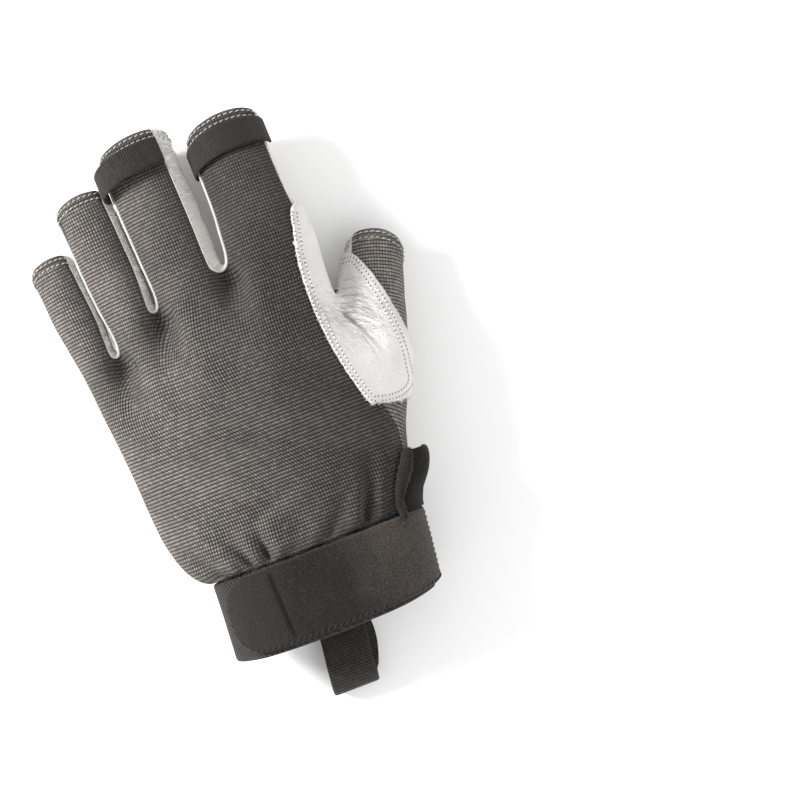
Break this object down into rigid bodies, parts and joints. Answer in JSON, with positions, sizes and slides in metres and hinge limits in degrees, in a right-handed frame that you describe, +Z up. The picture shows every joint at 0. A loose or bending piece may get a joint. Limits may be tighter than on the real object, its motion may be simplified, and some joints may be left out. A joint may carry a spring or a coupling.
{
  "type": "climbing glove",
  "caption": "Half-finger climbing glove with a woven back, leather palm, thumb crotch patch, wrist strap and pull loops, lying palm down.",
  "frame": {"origin": "on the surface that the glove lies on, under the middle of its bounding box", "axes": "+Y towards the fingertips, +X towards the thumb side, +Z up off the back of the hand"},
  "size_m": [0.1264, 0.2088, 0.0398],
  "materials": {
    "woven_fabric": "matte woven",
    "leather": "soft matte",
    "light_leather": "soft matte",
    "knit": "ribbed matte",
    "felt": "brushed",
    "webbing": "ribbed webbing"
  },
  "bodies": {
    "root": {"back_panel": "woven_fabric", "thumb_panel": "woven_fabric", "palm_panel": "leather", "sidewall_little_ring": "leather", "sidewall_ring_middle": "leather", "sidewall_middle_index": "leather", "crotch_patch": "light_leather", "cuff_band": "knit", "closure_strap": "felt", "slit_binding": "knit", "slit_gusset": "knit", "wrist_loop": "webbing", "pull_tab_middle": "webbing", "pull_tab_index": "webbing"}
  },
  "joints": []
}
